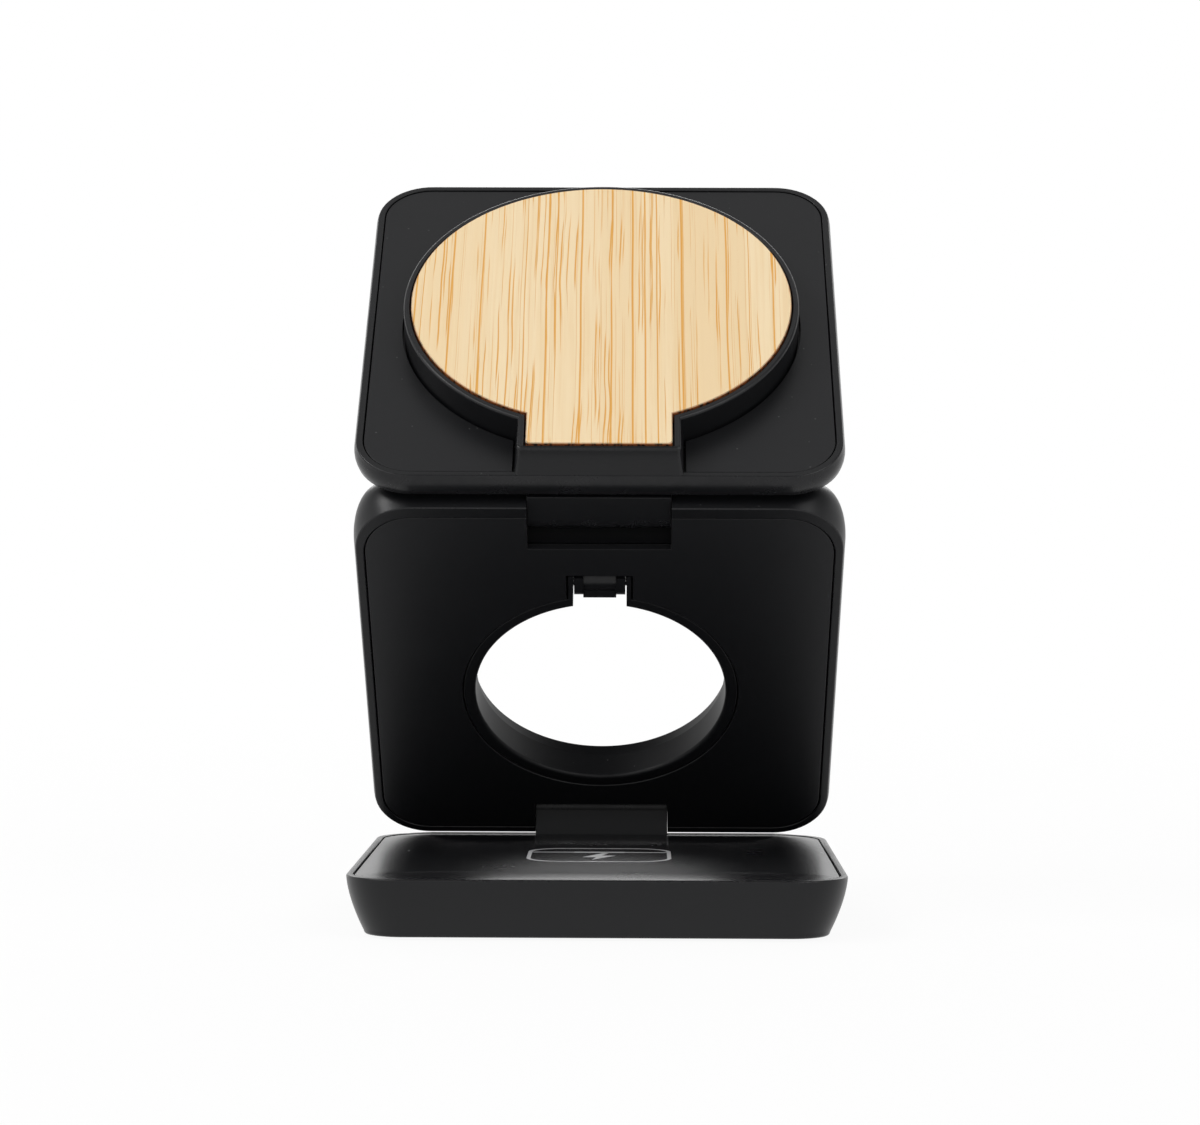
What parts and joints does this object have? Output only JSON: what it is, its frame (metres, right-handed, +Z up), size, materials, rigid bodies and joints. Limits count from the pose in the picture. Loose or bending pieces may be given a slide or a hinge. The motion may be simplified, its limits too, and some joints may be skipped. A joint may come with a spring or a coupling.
{
  "type": "wireless charger",
  "caption": "Folding wireless charging stand: three square plates in a Z on friction hinges, a round bamboo phone pad and a swing-out watch puck.",
  "frame": {"origin": "centre of the foot pad's underside, on the desk", "axes": "+X to the right seen from the front, +Y to the rear, +Z up; the three fold axes run along X"},
  "size_m": [0.076, 0.077, 0.1184],
  "materials": {
    "black_shell": "fine moulded texture, satin",
    "black_panel": "fine moulded texture, matte",
    "foot_rubber": "matte",
    "bamboo": "oiled bamboo, laser cut edge",
    "coil_copper": "enamelled copper winding",
    "ferrite_sheet": "matte ferrite",
    "circuit_board": "solder mask",
    "hinge_steel": "ground steel",
    "socket_steel": "stamped steel",
    "magnet_nickel": "nickel plated",
    "ribbon_film": "amber film",
    "puck_cover": "smooth, slightly dished"
  },
  "bodies": {
    "base": {"base_shell": "black_shell", "base_top_panel": "black_panel", "foot_pad": "foot_rubber", "main_board": "circuit_board", "board_screw_1": "hinge_steel", "board_screw_2": "hinge_steel", "board_screw_3": "hinge_steel", "board_screw_4": "hinge_steel", "earbud_coil": "coil_copper", "earbud_ferrite": "ferrite_sheet", "usb_c_socket": "socket_steel", "base_hinge_lug": "black_shell", "lower_friction_clip_left": "hinge_steel", "lower_friction_clip_right": "hinge_steel"},
    "middle": {"middle_shell": "black_shell", "middle_front_panel": "black_panel", "hole_collar": "black_shell", "power_ribbon": "ribbon_film", "watch_board": "circuit_board", "lower_hinge_pin": "hinge_steel", "upper_hinge_pin": "hinge_steel", "watch_hinge_pin": "hinge_steel"},
    "top": {"top_shell": "black_shell", "top_back_cover": "black_shell", "top_front_panel": "black_panel", "bamboo_inlay": "bamboo", "phone_coil": "coil_copper", "phone_ferrite": "ferrite_sheet", "phone_board": "circuit_board", "phone_magnet_ring": "magnet_nickel", "top_hinge_lug": "black_shell", "upper_friction_clip_left": "hinge_steel", "upper_friction_clip_right": "hinge_steel"},
    "puck": {"watch_puck_shell": "black_shell", "watch_puck_cover": "puck_cover", "watch_coil": "coil_copper", "watch_magnet": "magnet_nickel", "watch_ferrite": "ferrite_sheet"}
  },
  "joints": [
    {"name": "base_fold", "type": "hinge", "parent": "base", "child": "middle", "pos_m": [0, 0.036, 0.0141], "axis": [-1, 0, 0], "range_deg": [-46, 44]},
    {"name": "top_fold", "type": "hinge", "parent": "middle", "child": "top", "pos_m": [0, -0.01277, 0.0646], "axis": [1, 0, 0], "range_deg": [-50, 18]},
    {"name": "watch_flip", "type": "hinge", "parent": "middle", "child": "puck", "pos_m": [0, -0.00405, 0.05341], "axis": [1, 0, 0], "range_deg": [-46, 0]}
  ]
}
